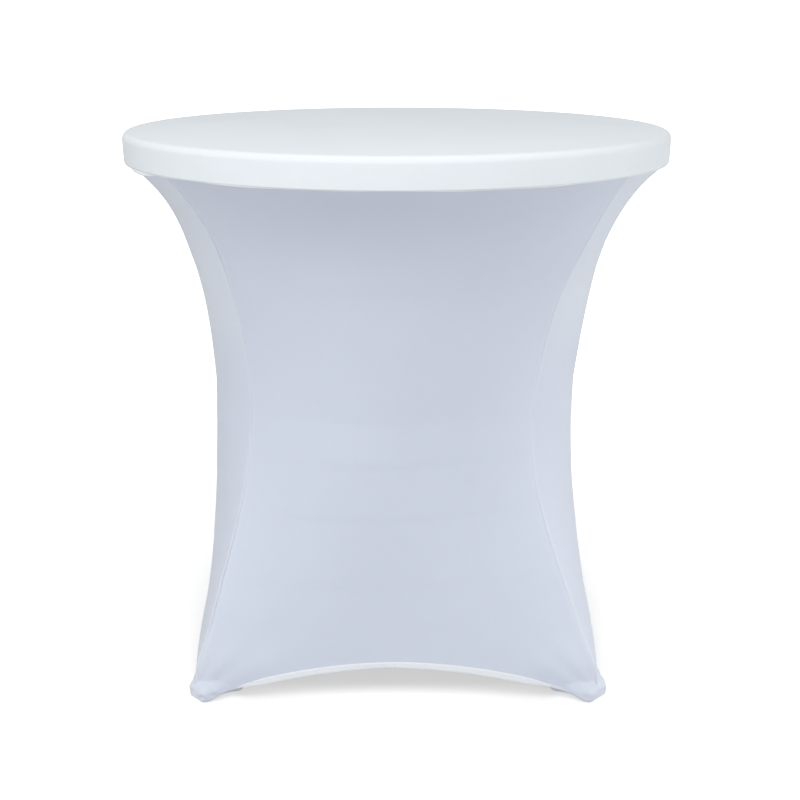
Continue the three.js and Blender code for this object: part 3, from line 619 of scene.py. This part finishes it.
def build_pocket(corner):
    """A foot pocket: cloth drawn round a blunt toe.

    Rows run from the middle of the sole out to its edge, over a small round, and up a wall that blends
    into the two panels' own arcs. The sole's edge climbs the hems' own arch on both flanks, so that the
    hems run on into it, and a whiter band of doubled cloth follows it there. Shallow slanting folds and
    one small gathered swirl beside the toe's middle are added along the normal.
    """
    sx, sy = CORNERS[corner]
    diagonal = unit(np.array([sx, sy, 0.0]))
    sideways = np.array([-diagonal[1], diagonal[0], 0.0])
    centre_of_foot = diagonal * 0.33 + np.array([0, 0, 0.012])
    gathered = corner == GATHERED_CORNER
    s = np.linspace(-1, 1, POCKET_COLUMNS)
    along, aside = foot_edge(s, corner)
    wide, narrow = (("front" if sy < 0 else "back"), ("right" if sx > 0 else "left"))

    def side_of(sign):
        """The panel on one flank of the pocket, and which end of it this corner is."""
        for side in (wide, narrow):
            facing = np.array([*SIDES[side][0], 0.0])
            if np.dot(facing, sideways) * sign > 0:
                return side, (1 if SIDE_CORNERS[side][1] == corner else -1)
        return wide, 1

    top_z = POCKET_TOP + 2.5 * MM + 1.2 * MM * np.abs(s)
    across_panel = 1 - (1 - HEM_REACH) * np.abs(s)
    edge_z = hem_height(across_panel) * smooth((np.abs(s) - 0.22) / 0.3)
    top = np.zeros((len(s), 3))
    lifted = np.zeros((len(s), 3))
    for sign in (-1, 1):
        side, end = side_of(sign)
        flank = s * sign >= 0
        across = end * across_panel[flank]
        top[flank] = panel_point(across, top_z[flank], side)
        lifted[flank] = panel_point(across, edge_z[flank], side)
    outward = unit(top * np.array([1, 1, 0]))
    top = top + outward * 0.25 * MM
    edge = along[:, None] * diagonal + aside[:, None] * sideways
    edge[:, 2] = 0
    blend = smooth((np.abs(s) - 0.36) / 0.6)[:, None]
    edge_high = edge * (1 - blend) + lifted * blend
    edge_high[:, 2] = edge_z
    middle = np.outer(edge_high @ diagonal, diagonal)
    inwards = unit(middle - edge_high * np.array([1, 1, 0]))
    inwards[np.abs(s) < 0.02] = -diagonal
    flanking = smooth((np.abs(s) - 0.05) / 0.2)[:, None]
    toward = unit(inwards * flanking - diagonal * (1 - flanking))
    rounding = 3.2 * MM
    rows = []
    sole = np.linspace(0, 1, 14)
    centre = np.outer(np.minimum(edge_high @ diagonal, FOOT_END - 14 * MM) - 6 * MM, diagonal)
    centre[:, 2] = SOLE_CLEARANCE
    first = edge_high + toward * rounding
    for t in sole:
        row = centre * (1 - t) + first * t
        row[:, 2] = SOLE_CLEARANCE + edge_high[:, 2] * t**3
        rows.append(row)
    for angle in np.linspace(0, math.pi / 2, 8)[1:]:
        row = edge_high + toward * rounding * (1 - math.sin(angle))
        row[:, 2] = edge_high[:, 2] + SOLE_CLEARANCE + rounding * (1 - math.cos(angle))
        rows.append(row)
    start = rows[-1]
    wall = np.linspace(0, 1, 30)[1:]
    toe = 1 - smooth((np.abs(s) - 0.3) / 0.4)[:, None]
    for t in wall:
        hang = toe * smooth((t - 0.33) / 0.67) + (1 - toe) * t
        row = start * (1 - hang) + top * hang
        row[:, 2] = start[:, 2] + (top[:, 2] - start[:, 2]) * t
        rows.append(row)
    points = np.array(rows)
    normal = normals_of(points)
    away = points - centre_of_foot
    normal *= np.sign(np.mean(np.sum(normal * away, axis=-1)))
    run = np.broadcast_to(s * FOOT_RUN, points.shape[:2])
    z = points[..., 2]
    on_wall = smooth((np.arange(len(rows)) - 16) / 5)[:, None]
    seed = {"front_right": 0.7, "back_right": 2.2, "back_left": 3.9, "front_left": 5.0}[corner]
    folds = 0.55 * MM * np.sin((run * 0.9 + z * 1.3) / 0.0034 + seed) * bump(np.abs(run), 0.034, 0.017)
    folds += 0.4 * MM * np.sin((run * 0.6 - z * 1.2) / 0.0027 + 2 * seed) * bump(np.abs(run), 0.012, 0.012)
    place = 16 * MM if gathered else 9 * MM * math.sin(2 * seed)
    ring = np.hypot(run - place, z - 8.5 * MM)
    strength = 1.0 if gathered else 0.45
    folds += strength * (0.8 * MM * bump(ring, 4.8 * MM, 1.6 * MM) - 0.5 * MM * bump(ring, 0, 2.2 * MM))
    fade = on_wall * smooth((POCKET_TOP + 2 * MM - z) / (8 * MM)) * smooth(z / (3 * MM))
    points = points + normal * (folds * fade)[..., None]
    points[..., 2] = np.maximum(points[..., 2], 0.0)
    drop = length_along(points)
    uv = np.stack([run, -drop], axis=-1)
    start_of_band = 0.5 if gathered else 0.32
    band = 7.5 * MM * smooth((np.abs(s) - start_of_band) / 0.5)
    dense_and_highlight = 0.12 + 0.4 * np.exp(-np.abs(run) / 0.03)
    dense_and_highlight = dense_and_highlight + 0.3 * bump(z, 0, 0.011) * bump(s, 0, 0.35) + 0.1 * bump(run, 0, 0.006)
    dense_and_highlight = np.maximum(dense_and_highlight, 0.95 * smooth((band - (z - edge_z)) / (1.5 * MM)) * (band > 0.2 * MM))
    return cloth_piece(f"pocket_{corner}", points, uv, dense_and_highlight, out_from=centre_of_foot)


# ---------- materials ----------


def new_group(name, inputs, outputs):
    """An empty shader group with named sockets: inputs are (name, type, value)."""
    group = bpy.data.node_groups.new(name, "ShaderNodeTree")
    for label, kind, value in inputs:
        socket = group.interface.new_socket(label, in_out="INPUT", socket_type=kind)
        if value is not None:
            socket.default_value = value
    for label, kind in outputs:
        group.interface.new_socket(label, in_out="OUTPUT", socket_type=kind)
    return group, group.nodes.new("NodeGroupInput"), group.nodes.new("NodeGroupOutput")


def calculator(tree):
    """A function that adds a Math node: calc(operation, a, b) gives its output socket."""

    def calc(operation, *values):
        node = tree.nodes.new("ShaderNodeMath")
        node.operation = operation
        for socket, value in zip(node.inputs, values):
            if isinstance(value, (int, float)):
                socket.default_value = value
            else:
                tree.links.new(value, socket)
        return node.outputs[0]

    return calc


def noise(tree, vector, scale, detail=3.0, rough=0.5):
    node = tree.nodes.new("ShaderNodeTexNoise")
    node.inputs["Scale"].default_value = scale
    node.inputs["Detail"].default_value = detail
    node.inputs["Roughness"].default_value = rough
    tree.links.new(vector, node.inputs["Vector"])
    return node.outputs["Fac"]


def knit_group():
    """Jersey knit: columns of V loops. Height = a sine down each column, bent to a V by the distance
    from the column's middle, times a rounded column profile."""
    group, given, made = new_group(
        "knit_loops",
        [
            ("Vector", "NodeSocketVector", None),
            ("Column", "NodeSocketFloat", 0.8),
            ("Row", "NodeSocketFloat", 0.6),
        ],
        [("Height", "NodeSocketFloat"), ("Gap", "NodeSocketFloat")],
    )
    calc = calculator(group)
    split = group.nodes.new("ShaderNodeSeparateXYZ")
    group.links.new(given.outputs["Vector"], split.inputs[0])
    column = calc("DIVIDE", calc("MULTIPLY", split.outputs["X"], 1000.0), given.outputs["Column"])
    row = calc("DIVIDE", calc("MULTIPLY", split.outputs["Y"], 1000.0), given.outputs["Row"])
    off = calc("ABSOLUTE", calc("SUBTRACT", calc("FRACT", column), 0.5))
    bent = calc("ADD", row, calc("MULTIPLY", off, 1.1))
    loop = calc("SINE", calc("MULTIPLY", bent, 2 * math.pi))
    rounded = calc("SUBTRACT", 1.0, calc("POWER", calc("MULTIPLY", off, 2.0), 3.0))
    height = calc("MULTIPLY", calc("ADD", calc("MULTIPLY", loop, 0.35), 0.65), rounded)
    gap = calc("SUBTRACT", 1.0, height)
    group.links.new(height, made.inputs["Height"])
    group.links.new(gap, made.inputs["Gap"])
    return group


def tint_group():
    """Colour of a stretched cloth: open where it is drawn thin, whiter where it is doubled or sewn,
    with slow variation and a faint darkening towards the floor. The open tone is partly painted
    shade, the shaded hollow inside the cover showing through thin cloth; the gaps between the knit's
    loops get painted shade; and on the side panels' tops the value that whitens doubled cloth also
    carries a painted highlight."""
    group, given, made = new_group(
        "stretched_tint",
        [
            ("Open", "NodeSocketColor", (0.7, 0.74, 0.82, 1)),
            ("Dense", "NodeSocketColor", (0.85, 0.87, 0.9, 1)),
            ("Doubling_and_Highlight", "NodeSocketFloat", 0.0),
            ("Variation", "NodeSocketFloat", 0.03),
            ("Gap", "NodeSocketFloat", 0.0),
        ],
        [("Color", "NodeSocketColor"), ("Cloud", "NodeSocketFloat")],
    )
    calc = calculator(group)
    place = group.nodes.new("ShaderNodeTexCoord").outputs["Object"]
    cloud = calc("SUBTRACT", noise(group, place, 5.5, 4.0, 0.55), 0.5)
    fine = calc("SUBTRACT", noise(group, place, 140.0, 2.0, 0.6), 0.5)
    doubling_and_highlight = calc("MINIMUM", calc("MAXIMUM", given.outputs["Doubling_and_Highlight"], 0.0), 1.0)
    mix = group.nodes.new("ShaderNodeMix")
    mix.data_type = "RGBA"
    group.links.new(doubling_and_highlight, mix.inputs["Factor"])
    group.links.new(given.outputs["Open"], mix.inputs["A"])
    group.links.new(given.outputs["Dense"], mix.inputs["B"])
    split = group.nodes.new("ShaderNodeSeparateXYZ")
    group.links.new(place, split.inputs[0])
    # darker towards the floor: up to 2% within 5 cm of it
    low = calc("SUBTRACT", 1.0, calc("DIVIDE", split.outputs["Z"], 0.05))
    darker_near_floor = calc("MULTIPLY", calc("MAXIMUM", low, 0.0), 0.02)
    swing = calc("ADD", calc("MULTIPLY", cloud, 2.0), calc("MULTIPLY", fine, 0.6))
    swing = calc("MULTIPLY", swing, given.outputs["Variation"])
    lighter = calc("ADD", 1.0, swing)
    # painted shade in the gaps between the knit's loops, plus the darkening near the floor
    darker = calc("ADD", calc("MULTIPLY", given.outputs["Gap"], 0.03), darker_near_floor)
    shade = calc("SUBTRACT", lighter, darker)
    hue = group.nodes.new("ShaderNodeHueSaturation")
    group.links.new(mix.outputs["Result"], hue.inputs["Color"])
    group.links.new(shade, hue.inputs["Value"])
    group.links.new(hue.outputs["Color"], made.inputs["Color"])
    group.links.new(cloud, made.inputs["Cloud"])
    return group


KNIT = knit_group()
TINT = tint_group()


def principled(name, roughness, metallic=0.0):
    material = bpy.data.materials.new(name)
    material.use_nodes = True
    shader = material.node_tree.nodes["Principled BSDF"]
    shader.inputs["Roughness"].default_value = roughness
    shader.inputs["Metallic"].default_value = metallic
    return material, material.node_tree, shader


def bumped(tree, shader, height, distance, strength=1.0):
    node = tree.nodes.new("ShaderNodeBump")
    node.inputs["Strength"].default_value = strength
    node.inputs["Distance"].default_value = distance
    tree.links.new(height, node.inputs["Height"])
    tree.links.new(node.outputs["Normal"], shader.inputs["Normal"])


def spandex(name, open_color, dense_color, doubled=None, loop=(0.8, 0.6), relief=0.05 * MM, sheen=0.3):
    """Knitted stretch cloth. doubled is a fixed share of doubled cloth, or None to read the piece's own
    value, which on the side panels' tops also carries a painted highlight.
    """
    material, tree, shader = principled(name, 0.62)
    shader.inputs["Sheen Weight"].default_value = sheen
    shader.inputs["Sheen Roughness"].default_value = 0.45
    shader.inputs["Specular IOR Level"].default_value = 0.2
    uv = tree.nodes.new("ShaderNodeUVMap")
    uv.uv_map = "UVMap"
    knit = tree.nodes.new("ShaderNodeGroup")
    knit.node_tree = KNIT
    knit.inputs["Column"].default_value, knit.inputs["Row"].default_value = loop
    tree.links.new(uv.outputs["UV"], knit.inputs["Vector"])
    tint = tree.nodes.new("ShaderNodeGroup")
    tint.node_tree = TINT
    tint.inputs["Open"].default_value = (*open_color, 1)
    tint.inputs["Dense"].default_value = (*dense_color, 1)
    if doubled is None:
        own = tree.nodes.new("ShaderNodeAttribute")
        own.attribute_name = "dense_and_highlight"
        tree.links.new(own.outputs["Fac"], tint.inputs["Doubling_and_Highlight"])
    else:
        tint.inputs["Doubling_and_Highlight"].default_value = doubled
    tree.links.new(knit.outputs["Gap"], tint.inputs["Gap"])
    tree.links.new(tint.outputs["Color"], shader.inputs["Base Color"])
    calc = calculator(tree)
    rough = calc("ADD", calc("MULTIPLY", tint.outputs["Cloud"], 0.12), 0.62)
    tree.links.new(rough, shader.inputs["Roughness"])
    bumped(tree, shader, knit.outputs["Height"], relief)
    return material


def thread(name, color):
    """Sewing thread: twisted plies as fine slanting bands."""
    material, tree, shader = principled(name, 0.5)
    shader.inputs["Sheen Weight"].default_value = 0.1
    calc = calculator(tree)
    place = tree.nodes.new("ShaderNodeTexCoord").outputs["Object"]
    split = tree.nodes.new("ShaderNodeSeparateXYZ")
    tree.links.new(place, split.inputs[0])
    total = calc("ADD", calc("ADD", split.outputs["X"], split.outputs["Y"]), split.outputs["Z"])
    ply = calc("SINE", calc("MULTIPLY", total, 16000.0))
    shade = calc("ADD", calc("MULTIPLY", ply, 0.03), 0.97)
    hue = tree.nodes.new("ShaderNodeHueSaturation")
    hue.inputs["Color"].default_value = (*color, 1)
    tree.links.new(shade, hue.inputs["Value"])
    tree.links.new(hue.outputs["Color"], shader.inputs["Base Color"])
    tree.links.new(calc("ADD", calc("MULTIPLY", ply, 0.08), 0.5), shader.inputs["Roughness"])
    bumped(tree, shader, ply, 0.02 * MM)
    return material


def speckled(
    name, dark, light, scale, roughness, metallic=0.0, relief=0.1 * MM, stretch=(1, 1, 1), swing=0.15
):
    """A solid material with two tones in a noise that a Mapping may draw out, rough where it is dark."""
    material, tree, shader = principled(name, roughness, metallic)
    calc = calculator(tree)
    place = tree.nodes.new("ShaderNodeTexCoord").outputs["Object"]
    mapping = tree.nodes.new("ShaderNodeMapping")
    mapping.inputs["Scale"].default_value = stretch
    tree.links.new(place, mapping.inputs["Vector"])
    grain = noise(tree, mapping.outputs["Vector"], scale, 6.0, 0.6)
    slow = noise(tree, place, scale * 0.06, 2.0, 0.5)
    ramp = tree.nodes.new("ShaderNodeValToRGB")
    ramp.color_ramp.elements[0].position = 0.32
    ramp.color_ramp.elements[0].color = (*dark, 1)
    ramp.color_ramp.elements[1].position = 0.68
    ramp.color_ramp.elements[1].color = (*light, 1)
    blend = calc("ADD", calc("MULTIPLY", grain, 0.7), calc("MULTIPLY", slow, 0.3))
    tree.links.new(blend, ramp.inputs["Fac"])
    tree.links.new(ramp.outputs["Color"], shader.inputs["Base Color"])
    rough = calc("ADD", calc("MULTIPLY", calc("SUBTRACT", grain, 0.5), swing), roughness)
    tree.links.new(rough, shader.inputs["Roughness"])
    bumped(tree, shader, grain, relief)
    return material


# the open white is partly the stretched cloth's own tone and partly painted shade: the shaded hollow inside
# the cover showing through the thin skirt
OPEN_WHITE_AND_HOLLOW_SHADE = (0.675, 0.728, 0.845)
DENSE_WHITE = (0.82, 0.87, 0.95)
CAP_WHITE = (0.855, 0.905, 0.945)
SEAM_WHITE = (0.93, 0.96, 1.0)
THREAD_WHITE = (0.88, 0.9, 0.94)

panel_cloth = spandex("stretched_cloth", OPEN_WHITE_AND_HOLLOW_SHADE, DENSE_WHITE)
cap_cloth = spandex("cap_cloth", OPEN_WHITE_AND_HOLLOW_SHADE, CAP_WHITE, doubled=1.0, loop=(0.7, 0.55), sheen=0.04)
seam_cloth = spandex(
    "seam_cloth", OPEN_WHITE_AND_HOLLOW_SHADE, SEAM_WHITE, doubled=1.0, loop=(0.6, 0.9), relief=0.12 * MM
)
white_thread = thread("white_thread", THREAD_WHITE)
table_looks = {
    "board": speckled(
        "birch_ply", (0.42, 0.29, 0.17), (0.66, 0.5, 0.33), 34, 0.55, relief=0.08 * MM, stretch=(1, 9, 9)
    ),
    "edge": speckled(
        "moulded_edge", (0.018, 0.018, 0.02), (0.035, 0.035, 0.038), 900, 0.45, relief=0.05 * MM
    ),
    "iron": speckled(
        "coated_iron", (0.012, 0.012, 0.013), (0.03, 0.03, 0.032), 420, 0.5, relief=0.25 * MM
    ),
    "steel": speckled(
        "zinc_steel", (0.42, 0.43, 0.45), (0.62, 0.63, 0.64), 160, 0.32, 1.0, relief=0.02 * MM, swing=0.25
    ),
    "glide": speckled(
        "glide_plastic", (0.02, 0.02, 0.022), (0.045, 0.045, 0.048), 600, 0.55, relief=0.06 * MM
    ),
}


def look_of(node):
    """Which finish a table node has, by what kind of piece it is."""
    if node.startswith("table_board"):
        return "board"
    if node.startswith("edge_band"):
        return "edge"
    if node.startswith("glide_pad"):
        return "glide"
    if node.startswith(("tie_", "top_screw", "glide_stem")):
        return "steel"
    return "iron"


# ---------- putting the pieces together ----------


def dress(piece, material):
    """Gives a piece its material and slot, and rides it on the cover."""
    piece.data.materials.clear()
    piece.data.materials.append(material)
    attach(piece, "cover")
    return piece


def relaxing(piece):
    """Gives a piece its own copy of its mesh."""
    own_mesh(piece)
    return piece


cap = dress(build_cap(), cap_cloth)
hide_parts("cover_top_cap")
rim_roll = dress(build_rim_seam(), seam_cloth)
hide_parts("rim_seam")
rim_tuck = dress(build_rim_tuck(), seam_cloth)
rim_stitches = dress(build_rim_stitches(), white_thread)

corner_seams = {}
for corner in CORNERS:
    seam = dress(build_corner_seam(corner), panel_cloth)
    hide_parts(f"corner_seam_{corner}")
    corner_seams[corner] = relaxing(seam)

for side in SIDES:
    panel = relaxing(dress(build_panel(side), panel_cloth))
    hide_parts(f"skirt_panel_{side}")
    hem = relaxing(dress(build_hem(side), seam_cloth))
    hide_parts(f"hem_{side}")
    stitches = relaxing(dress(build_hem_stitches(side), white_thread))
    seam = corner_seams[SIDE_CORNERS[side][1]]

for corner in CORNERS:
    pocket = relaxing(dress(build_pocket(corner), panel_cloth))
    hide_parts(f"foot_pocket_{corner}")

for name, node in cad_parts.items():
    if not node.hide_render:
        node.data.materials.clear()
        node.data.materials.append(table_looks[look_of(name)])

# ---------- floor, light and camera ----------

FLOOR_TONE = 0.62
FLOOR_GLOW = 0.55
GLOW_START = 0.45  # metres from the table's axis
GLOW_REACH = 1.3
GLOW_RISE = 0.85
STRIP_START = 0.235  # metres before the axis
STRIP_FADE = 0.03
STRIP_NARROWING = 17.0
STRIP_GLOW = 0.2
SKY_LEVEL = 0.26
SKY_ABOVE = 0.6
SKY_SEEN = 1.2


def build_floor():
    """A pale floor that stays white away from the table.

    It is a wide disc. What the camera sees of it has a glow that grows with the distance from the
    table, and a strip of painted light before the table, between the two front feet, which lightens
    the shadow under the front hem. Its bounce on the object is that of a plain pale floor.
    """
    turn = np.linspace(0, 2 * np.pi, 96, endpoint=False)
    radius = np.concatenate([[0.0], np.geomspace(0.2, 400, 40)])[:, None]
    points = np.stack([radius * np.cos(turn), radius * np.sin(turn), 0 * radius * turn], axis=-1)
    floor = weld(add_mesh("floor", points, grid_faces(*points.shape[:2], round_columns=True)))
    if floor.data.polygons[0].normal.z < 0:
        floor.data.flip_normals()
    material, tree, shader = principled("pale_floor", 0.9)
    calc = calculator(tree)
    place = tree.nodes.new("ShaderNodeTexCoord").outputs["Object"]
    distance = tree.nodes.new("ShaderNodeVectorMath")
    distance.operation = "LENGTH"
    tree.links.new(place, distance.inputs[0])
    away = calc("SUBTRACT", distance.outputs["Value"], GLOW_START)
    share = calc("MINIMUM", calc("MAXIMUM", calc("DIVIDE", away, GLOW_REACH), 0.0), 1.0)
    seen = tree.nodes.new("ShaderNodeLightPath").outputs["Is Camera Ray"]
    split = tree.nodes.new("ShaderNodeSeparateXYZ")
    tree.links.new(place, split.inputs[0])
    # painted light: a brighter strip on the floor before the table, between the front feet, that lightens
    # the shadow under the front hem
    before = calc("SUBTRACT", calc("MULTIPLY", split.outputs["Y"], -1.0), STRIP_START)
    before = calc("DIVIDE", before, STRIP_FADE)
    before = calc("MINIMUM", calc("MAXIMUM", before, 0.0), 1.0)
    aside = calc("POWER", calc("ABSOLUTE", split.outputs["X"]), 2.0)
    aside = calc("SUBTRACT", 1.0, calc("MULTIPLY", aside, STRIP_NARROWING))
    strip = calc("MULTIPLY", calc("MULTIPLY", before, calc("MAXIMUM", aside, 0.0)), STRIP_GLOW)
    glow = calc("ADD", calc("ADD", FLOOR_GLOW, strip), calc("MULTIPLY", share, GLOW_RISE))
    glow = calc("MULTIPLY", glow, seen)
    shader.inputs["Base Color"].default_value = (FLOOR_TONE, FLOOR_TONE, FLOOR_TONE, 1)
    shader.inputs["Emission Color"].default_value = (1, 1, 1, 1)
    shader.inputs["Specular IOR Level"].default_value = 0.1
    tree.links.new(glow, shader.inputs["Emission Strength"])
    floor.data.materials.append(material)


def build_world():
    """A white studio: brighter overhead than level, and plain white behind the object."""
    world = bpy.data.worlds.new("studio")
    bpy.context.scene.world = world
    world.use_nodes = True
    tree = world.node_tree
    back = tree.nodes["Background"]
    calc = calculator(tree)
    where = tree.nodes.new("ShaderNodeTexCoord")
    split = tree.nodes.new("ShaderNodeSeparateXYZ")
    tree.links.new(where.outputs["Generated"], split.inputs[0])
    height = calc("MAXIMUM", split.outputs["Z"], 0.0)
    glow = calc("ADD", SKY_LEVEL, calc("MULTIPLY", height, SKY_ABOVE))
    direct = tree.nodes.new("ShaderNodeLightPath").outputs["Is Camera Ray"]
    seen = calc("MULTIPLY", direct, SKY_SEEN)
    strength = calc("ADD", seen, calc("MULTIPLY", calc("SUBTRACT", 1.0, direct), glow))
    tree.links.new(strength, back.inputs["Strength"])
    back.inputs["Color"].default_value = (1, 1, 1, 1)


def softbox(name, place, target, size, power):
    """A white rectangular lamp at a place, turned to face a target."""
    lamp = bpy.data.lights.new(name, "AREA")
    lamp.shape = "RECTANGLE"
    lamp.size, lamp.size_y = size
    lamp.energy = power
    holder = bpy.data.objects.new(name, lamp)
    bpy.context.scene.collection.objects.link(holder)
    holder.location = place
    aim = np.array(target) - np.array(place)
    tilt = math.atan2(math.hypot(aim[0], aim[1]), -aim[2])
    heading = math.atan2(aim[1], aim[0]) - math.pi / 2
    holder.rotation_euler = (tilt, 0, heading)


build_floor()
build_world()
softbox("key", (-0.1, -1.5, 2.0), (0, -0.1, 0.5), (1.6, 0.8), 15)
softbox("front_fill", (0.0, -2.6, 0.9), (0, 0, 0.4), (2.0, 1.2), 8)
softbox("left_fill", (-2.2, -0.5, 0.35), (0, 0, 0.45), (1.4, 0.7), 7)
softbox("right_fill", (2.2, -0.5, 0.35), (0, 0, 0.45), (1.4, 0.7), 2)
softbox("low_right_fill", (1.35, 0.1, 0.12), (0.3, 0, 0.62), (0.9, 0.5), 5.8)

lens = bpy.data.cameras.new("camera")
lens.sensor_width = 36
lens.lens = 53.66
camera = bpy.data.objects.new("camera", lens)
bpy.context.scene.collection.objects.link(camera)
camera.location = (0.0045, -1.70, 0.8868)
camera.rotation_euler = (math.radians(90 - 17.86), 0, 0)
lens.clip_start, lens.clip_end = 0.05, 200
bpy.context.scene.camera = camera
bpy.context.scene.view_settings.view_transform = "Standard"
